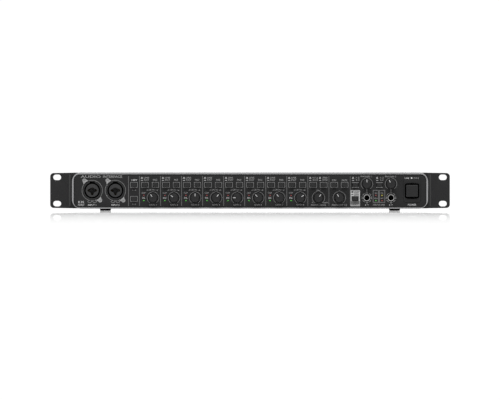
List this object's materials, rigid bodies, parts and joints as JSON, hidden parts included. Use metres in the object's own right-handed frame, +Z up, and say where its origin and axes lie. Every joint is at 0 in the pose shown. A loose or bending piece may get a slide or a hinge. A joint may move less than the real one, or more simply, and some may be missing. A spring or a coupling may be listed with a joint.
{
  "type": "audio interface",
  "caption": "Rack-mount audio interface: slim black case with a silver front frame, slotted rack ears, rotary knobs, push buttons, front and rear sockets and small feet.",
  "frame": {"origin": "on the surface that the feet stand on, under the middle of the whole unit", "axes": "+X to the right seen from the front, +Y from the front panel to the rear, +Z up"},
  "size_m": [0.4826, 0.217, 0.0464],
  "materials": {
    "black_paint": "fine satin powder coat",
    "black_plastic": "fine moulded texture",
    "silver": "satin metallic",
    "nickel": "bright nickel plate",
    "rubber": "matt",
    "green_board": "solder mask",
    "screw_steel": "zinc plate",
    "gold_contact": "gold flash",
    "white_ink": "screen print",
    "grey_ink": "screen print",
    "red_lamp": "clear tinted lens",
    "green_lamp": "clear tinted lens",
    "yellow_lamp": "clear tinted lens"
  },
  "bodies": {
    "case": {"front_frame": "silver", "front_panel": "black_paint", "rack_ear_left": "black_paint", "rack_ear_right": "black_paint", "chassis_tray": "black_paint", "top_cover": "black_paint", "rear_panel": "black_paint", "foot_front_left": "rubber", "foot_front_right": "rubber", "foot_rear_left": "rubber", "foot_rear_right": "rubber", "power_surround": "black_plastic", "input_jack_1": "black_plastic", "input_jack_2": "black_plastic", "phones_jack_1": "nickel", "phones_jack_2": "nickel", "rear_input_jacks": "black_plastic", "output_jacks": "black_plastic", "digital_ports": "black_plastic", "dc_inlet": "black_plastic", "control_board": "green_board", "main_board": "green_board"},
    "gain_knob_1": {"gain_knob_1": "black_plastic"},
    "gain_knob_2": {"gain_knob_2": "black_plastic"},
    "gain_knob_3": {"gain_knob_3": "black_plastic"},
    "gain_knob_4": {"gain_knob_4": "black_plastic"},
    "gain_knob_5": {"gain_knob_5": "black_plastic"},
    "gain_knob_6": {"gain_knob_6": "black_plastic"},
    "gain_knob_7": {"gain_knob_7": "black_plastic"},
    "gain_knob_8": {"gain_knob_8": "black_plastic"},
    "mix_knob": {"mix_knob": "black_plastic"},
    "main_level_knob": {"main_level_knob": "black_plastic"},
    "phones_level_knob_1": {"phones_level_knob_1": "black_plastic"},
    "phones_level_knob_2": {"phones_level_knob_2": "black_plastic"},
    "power_button": {"power_button": "black_plastic"},
    "phantom_button_1": {"phantom_button_1": "black_plastic"},
    "phantom_button_2": {"phantom_button_2": "black_plastic"},
    "monitor_source_button": {"monitor_source_button": "black_plastic"},
    "mono_button": {"mono_button": "black_plastic"},
    "dim_button": {"dim_button": "black_plastic"},
    "mute_button": {"mute_button": "black_plastic"},
    "phones_source_button_1": {"phones_source_button_1": "black_plastic"},
    "phones_source_button_2": {"phones_source_button_2": "black_plastic"},
    "direct_monitor_button": {"direct_monitor_button": "black_plastic"},
    "input_type_button_1": {"input_type_button_1": "black_plastic"},
    "pad_button_1": {"pad_button_1": "black_plastic"},
    "input_type_button_2": {"input_type_button_2": "black_plastic"},
    "pad_button_2": {"pad_button_2": "black_plastic"},
    "input_type_button_3": {"input_type_button_3": "black_plastic"},
    "pad_button_3": {"pad_button_3": "black_plastic"},
    "input_type_button_4": {"input_type_button_4": "black_plastic"},
    "pad_button_4": {"pad_button_4": "black_plastic"},
    "input_type_button_5": {"input_type_button_5": "black_plastic"},
    "pad_button_5": {"pad_button_5": "black_plastic"},
    "input_type_button_6": {"input_type_button_6": "black_plastic"},
    "pad_button_6": {"pad_button_6": "black_plastic"},
    "input_type_button_7": {"input_type_button_7": "black_plastic"},
    "pad_button_7": {"pad_button_7": "black_plastic"},
    "input_type_button_8": {"input_type_button_8": "black_plastic"},
    "pad_button_8": {"pad_button_8": "black_plastic"}
  },
  "joints": [
    {"name": "gain_knob_1_turn", "type": "hinge", "parent": "case", "child": "gain_knob_1", "pos_m": [-0.1171, -0.0955, 0.0156], "axis": [0, 1, 0], "range_deg": [-113, 187]},
    {"name": "gain_knob_2_turn", "type": "hinge", "parent": "case", "child": "gain_knob_2", "pos_m": [-0.0917, -0.0955, 0.0156], "axis": [0, 1, 0], "range_deg": [-97, 203]},
    {"name": "gain_knob_3_turn", "type": "hinge", "parent": "case", "child": "gain_knob_3", "pos_m": [-0.0663, -0.0955, 0.0156], "axis": [0, 1, 0], "range_deg": [-150, 150]},
    {"name": "gain_knob_4_turn", "type": "hinge", "parent": "case", "child": "gain_knob_4", "pos_m": [-0.0409, -0.0955, 0.0156], "axis": [0, 1, 0], "range_deg": [-186, 114]},
    {"name": "gain_knob_5_turn", "type": "hinge", "parent": "case", "child": "gain_knob_5", "pos_m": [-0.0155, -0.0955, 0.0156], "axis": [0, 1, 0], "range_deg": [-60, 240]},
    {"name": "gain_knob_6_turn", "type": "hinge", "parent": "case", "child": "gain_knob_6", "pos_m": [0.0099, -0.0955, 0.0156], "axis": [0, 1, 0], "range_deg": [-109, 191]},
    {"name": "gain_knob_7_turn", "type": "hinge", "parent": "case", "child": "gain_knob_7", "pos_m": [0.0353, -0.0955, 0.0156], "axis": [0, 1, 0], "range_deg": [-114, 186]},
    {"name": "gain_knob_8_turn", "type": "hinge", "parent": "case", "child": "gain_knob_8", "pos_m": [0.0607, -0.0955, 0.0156], "axis": [0, 1, 0], "range_deg": [-203, 97]},
    {"name": "mix_knob_turn", "type": "hinge", "parent": "case", "child": "mix_knob", "pos_m": [0.0826, -0.0955, 0.0156], "axis": [0, 1, 0], "range_deg": [-186, 114]},
    {"name": "main_level_knob_turn", "type": "hinge", "parent": "case", "child": "main_level_knob", "pos_m": [0.1079, -0.0955, 0.0156], "axis": [0, 1, 0], "range_deg": [-118, 182]},
    {"name": "phones_level_knob_1_turn", "type": "hinge", "parent": "case", "child": "phones_level_knob_1", "pos_m": [0.1411, -0.0955, 0.0324], "axis": [0, 1, 0], "range_deg": [-150, 150]},
    {"name": "phones_level_knob_2_turn", "type": "hinge", "parent": "case", "child": "phones_level_knob_2", "pos_m": [0.1702, -0.0955, 0.0324], "axis": [0, 1, 0], "range_deg": [-123, 177]},
    {"name": "power_button_press", "type": "slide", "parent": "case", "child": "power_button", "axis": [0, 1, 0], "range_m": [0, 0.003], "stiffness_N_per_m": 400},
    {"name": "phantom_button_1_press", "type": "slide", "parent": "case", "child": "phantom_button_1", "axis": [0, 1, 0], "range_m": [0, 0.002], "stiffness_N_per_m": 250},
    {"name": "phantom_button_2_press", "type": "slide", "parent": "case", "child": "phantom_button_2", "axis": [0, 1, 0], "range_m": [0, 0.002], "stiffness_N_per_m": 250},
    {"name": "monitor_source_button_press", "type": "slide", "parent": "case", "child": "monitor_source_button", "axis": [0, 1, 0], "range_m": [0, 0.002], "stiffness_N_per_m": 250},
    {"name": "mono_button_press", "type": "slide", "parent": "case", "child": "mono_button", "axis": [0, 1, 0], "range_m": [0, 0.002], "stiffness_N_per_m": 250},
    {"name": "dim_button_press", "type": "slide", "parent": "case", "child": "dim_button", "axis": [0, 1, 0], "range_m": [0, 0.002], "stiffness_N_per_m": 250},
    {"name": "mute_button_press", "type": "slide", "parent": "case", "child": "mute_button", "axis": [0, 1, 0], "range_m": [0, 0.002], "stiffness_N_per_m": 250},
    {"name": "phones_source_button_1_press", "type": "slide", "parent": "case", "child": "phones_source_button_1", "axis": [0, 1, 0], "range_m": [0, 0.002], "stiffness_N_per_m": 250},
    {"name": "phones_source_button_2_press", "type": "slide", "parent": "case", "child": "phones_source_button_2", "axis": [0, 1, 0], "range_m": [0, 0.002], "stiffness_N_per_m": 250},
    {"name": "direct_monitor_button_press", "type": "slide", "parent": "case", "child": "direct_monitor_button", "axis": [0, 1, 0], "range_m": [0, 0.002], "stiffness_N_per_m": 250},
    {"name": "input_type_button_1_press", "type": "slide", "parent": "case", "child": "input_type_button_1", "axis": [0, 1, 0], "range_m": [0, 0.002], "stiffness_N_per_m": 250},
    {"name": "pad_button_1_press", "type": "slide", "parent": "case", "child": "pad_button_1", "axis": [0, 1, 0], "range_m": [0, 0.002], "stiffness_N_per_m": 250},
    {"name": "input_type_button_2_press", "type": "slide", "parent": "case", "child": "input_type_button_2", "axis": [0, 1, 0], "range_m": [0, 0.002], "stiffness_N_per_m": 250},
    {"name": "pad_button_2_press", "type": "slide", "parent": "case", "child": "pad_button_2", "axis": [0, 1, 0], "range_m": [0, 0.002], "stiffness_N_per_m": 250},
    {"name": "input_type_button_3_press", "type": "slide", "parent": "case", "child": "input_type_button_3", "axis": [0, 1, 0], "range_m": [0, 0.002], "stiffness_N_per_m": 250},
    {"name": "pad_button_3_press", "type": "slide", "parent": "case", "child": "pad_button_3", "axis": [0, 1, 0], "range_m": [0, 0.002], "stiffness_N_per_m": 250},
    {"name": "input_type_button_4_press", "type": "slide", "parent": "case", "child": "input_type_button_4", "axis": [0, 1, 0], "range_m": [0, 0.002], "stiffness_N_per_m": 250},
    {"name": "pad_button_4_press", "type": "slide", "parent": "case", "child": "pad_button_4", "axis": [0, 1, 0], "range_m": [0, 0.002], "stiffness_N_per_m": 250},
    {"name": "input_type_button_5_press", "type": "slide", "parent": "case", "child": "input_type_button_5", "axis": [0, 1, 0], "range_m": [0, 0.002], "stiffness_N_per_m": 250},
    {"name": "pad_button_5_press", "type": "slide", "parent": "case", "child": "pad_button_5", "axis": [0, 1, 0], "range_m": [0, 0.002], "stiffness_N_per_m": 250},
    {"name": "input_type_button_6_press", "type": "slide", "parent": "case", "child": "input_type_button_6", "axis": [0, 1, 0], "range_m": [0, 0.002], "stiffness_N_per_m": 250},
    {"name": "pad_button_6_press", "type": "slide", "parent": "case", "child": "pad_button_6", "axis": [0, 1, 0], "range_m": [0, 0.002], "stiffness_N_per_m": 250},
    {"name": "input_type_button_7_press", "type": "slide", "parent": "case", "child": "input_type_button_7", "axis": [0, 1, 0], "range_m": [0, 0.002], "stiffness_N_per_m": 250},
    {"name": "pad_button_7_press", "type": "slide", "parent": "case", "child": "pad_button_7", "axis": [0, 1, 0], "range_m": [0, 0.002], "stiffness_N_per_m": 250},
    {"name": "input_type_button_8_press", "type": "slide", "parent": "case", "child": "input_type_button_8", "axis": [0, 1, 0], "range_m": [0, 0.002], "stiffness_N_per_m": 250},
    {"name": "pad_button_8_press", "type": "slide", "parent": "case", "child": "pad_button_8", "axis": [0, 1, 0], "range_m": [0, 0.002], "stiffness_N_per_m": 250}
  ]
}
